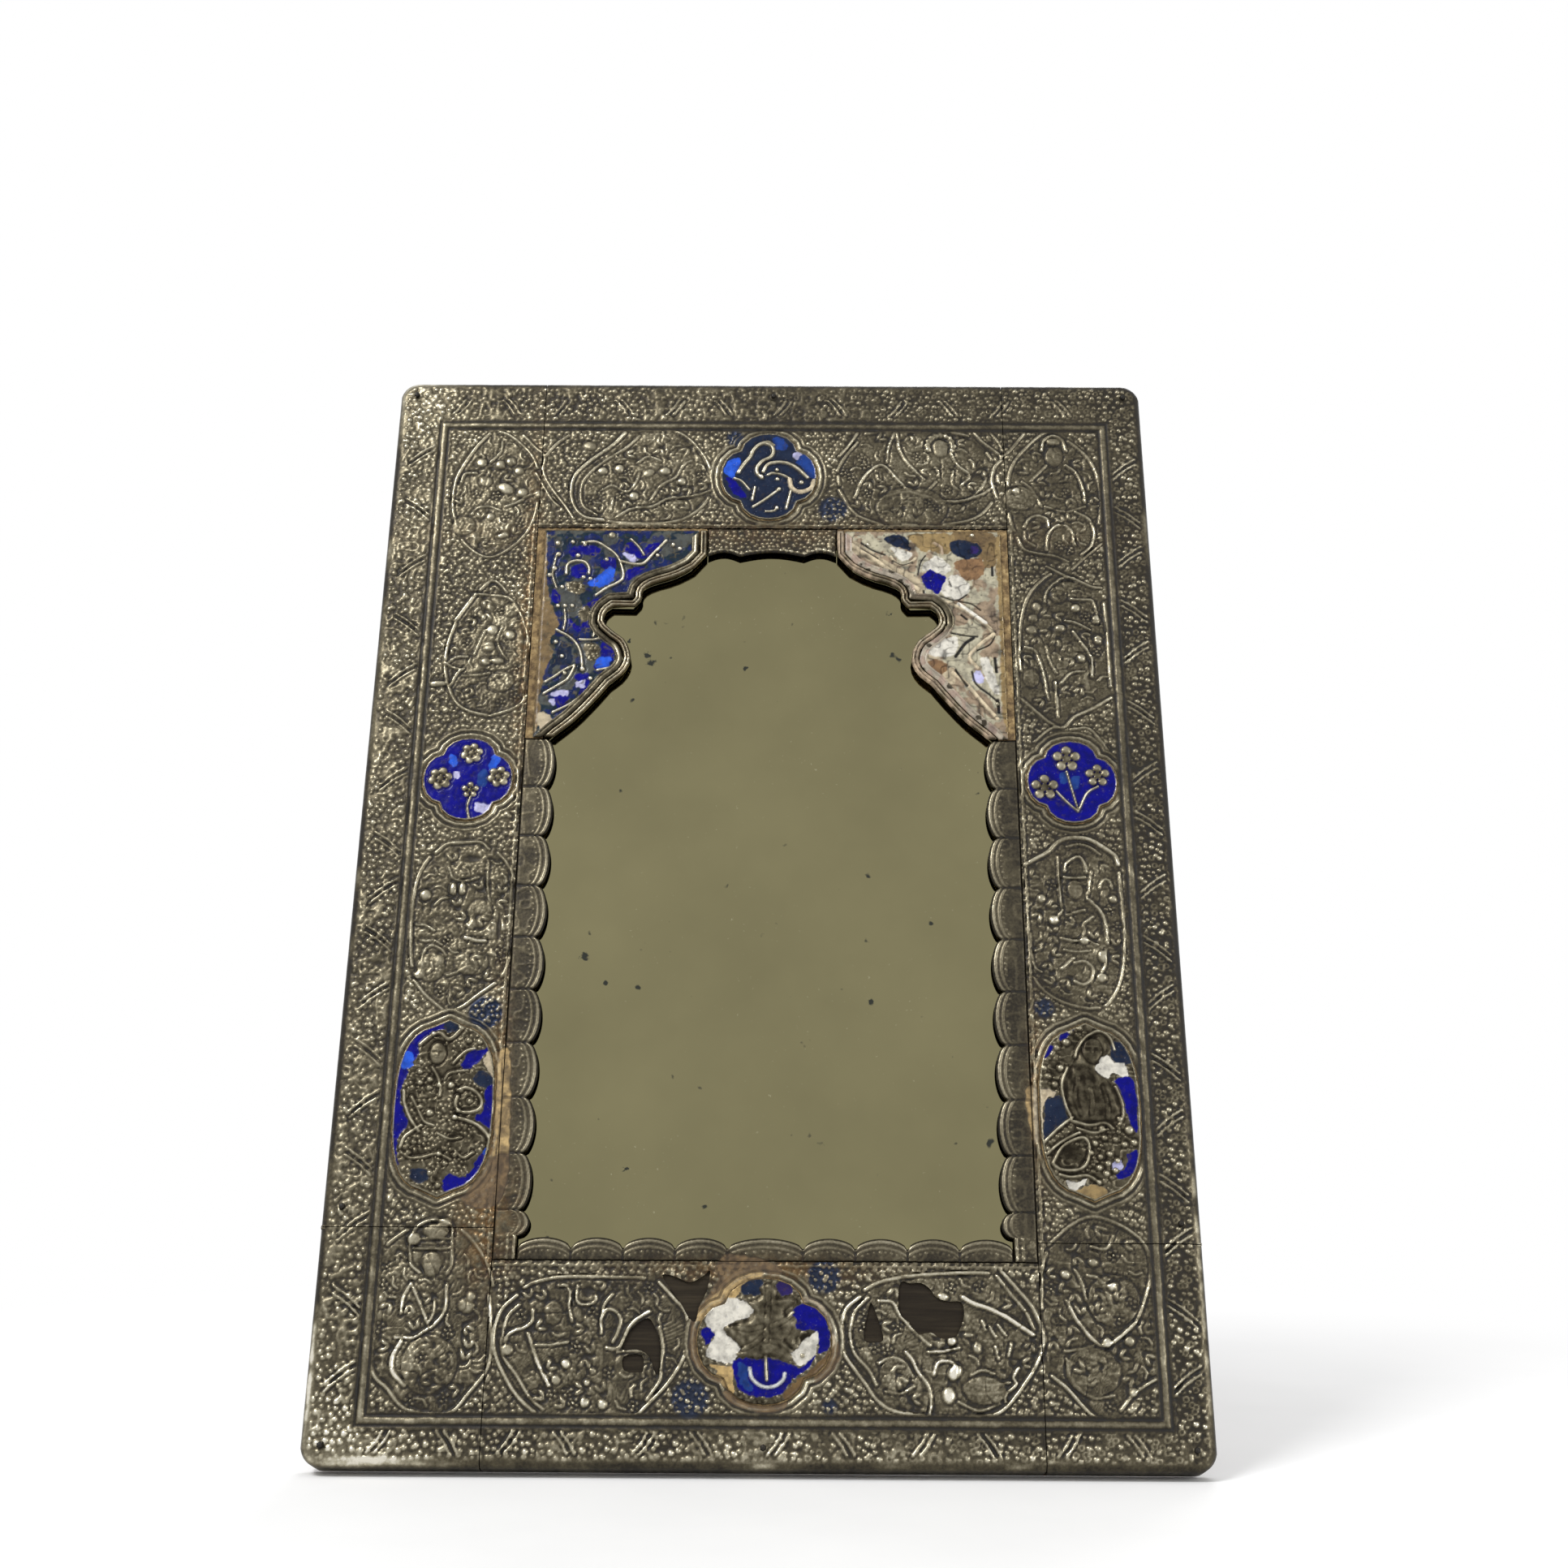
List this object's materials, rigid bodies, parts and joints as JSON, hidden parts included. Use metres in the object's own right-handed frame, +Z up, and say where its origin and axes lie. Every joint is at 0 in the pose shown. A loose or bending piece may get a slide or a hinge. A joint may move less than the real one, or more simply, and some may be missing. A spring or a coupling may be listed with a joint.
{
  "type": "table mirror",
  "caption": "Arched table mirror in a wooden frame clad in chased silver sheet with enamelled plaques, leaning back on a hinged rear strut.",
  "frame": {"origin": "on the table, under the middle of the part's bounding box", "axes": "+Z up, the mirror faces -Y and leans back, +X to the right seen from its front"},
  "size_m": [0.282, 0.1614, 0.3824],
  "materials": {
    "silver": "chased silver, dark patina in the hollows",
    "pale_silver": "polished silver, light patina",
    "cobalt_enamel": "glossy cobalt enamel over chased silver",
    "worn_enamel": "enamel worn to its cream ground",
    "mastic": "old ochre mastic",
    "frame_wood": "dark stained hardwood",
    "board_wood": "thin sawn board, oiled",
    "packing_paper": "old paper",
    "mirror_glass": "aged silvering with specks",
    "brass": "tarnished brass",
    "iron": "dull iron"
  },
  "bodies": {
    "mirror": {"left_stile": "frame_wood", "right_stile": "frame_wood", "top_rail": "frame_wood", "bottom_rail": "frame_wood", "mirror_glass": "mirror_glass", "packing_sheet": "packing_paper", "backing_board": "board_wood", "back_panel": "board_wood", "brad_left_top": "iron", "brad_left_middle": "iron", "brad_left_bottom": "iron", "brad_right_top": "iron", "brad_right_middle": "iron", "brad_right_bottom": "iron", "silver_sheet_left": "silver", "silver_sheet_right": "silver", "silver_sheet_top": "silver", "silver_sheet_bottom": "silver", "silver_corner_left": "pale_silver", "silver_corner_right": "silver", "silver_pin_left_upper": "pale_silver", "silver_pin_left_lower": "pale_silver", "silver_pin_left_corner": "pale_silver", "silver_pin_right_upper": "pale_silver", "silver_pin_right_lower": "pale_silver", "silver_pin_right_corner": "pale_silver", "silver_pin_top": "pale_silver", "silver_pin_bottom": "pale_silver", "scallop_strip_left": "silver", "scallop_strip_right": "silver", "scallop_strip_bottom": "silver", "arch_strip": "silver", "spandrel_bed_left": "mastic", "spandrel_rim_left": "pale_silver", "spandrel_enamel_left": "cobalt_enamel", "spandrel_bed_right": "mastic", "spandrel_rim_right": "pale_silver", "spandrel_enamel_right": "worn_enamel", "medallion_top_enamel": "cobalt_enamel", "medallion_top_bed": "mastic", "medallion_bottom_enamel": "cobalt_enamel", "medallion_bottom_bed": "mastic", "medallion_left_enamel": "cobalt_enamel", "medallion_left_bed": "mastic", "medallion_right_enamel": "cobalt_enamel", "medallion_right_bed": "mastic", "oval_left_enamel": "cobalt_enamel", "oval_left_bed": "mastic", "oval_right_enamel": "cobalt_enamel", "oval_right_bed": "mastic", "hinge_fixed_leaf": "brass", "fixed_leaf_screw_left": "brass", "fixed_leaf_screw_right": "brass", "hinge_pin": "brass"},
    "strut": {"strut_board": "board_wood", "hinge_moving_leaf": "brass", "moving_leaf_screw_left": "brass", "moving_leaf_screw_right": "brass"}
  },
  "joints": [
    {"name": "strut_fold", "type": "hinge", "parent": "mirror", "child": "strut", "pos_m": [0, 0.00961, 0.23615], "axis": [1, 0, 0], "range_deg": [-33, 0]}
  ]
}
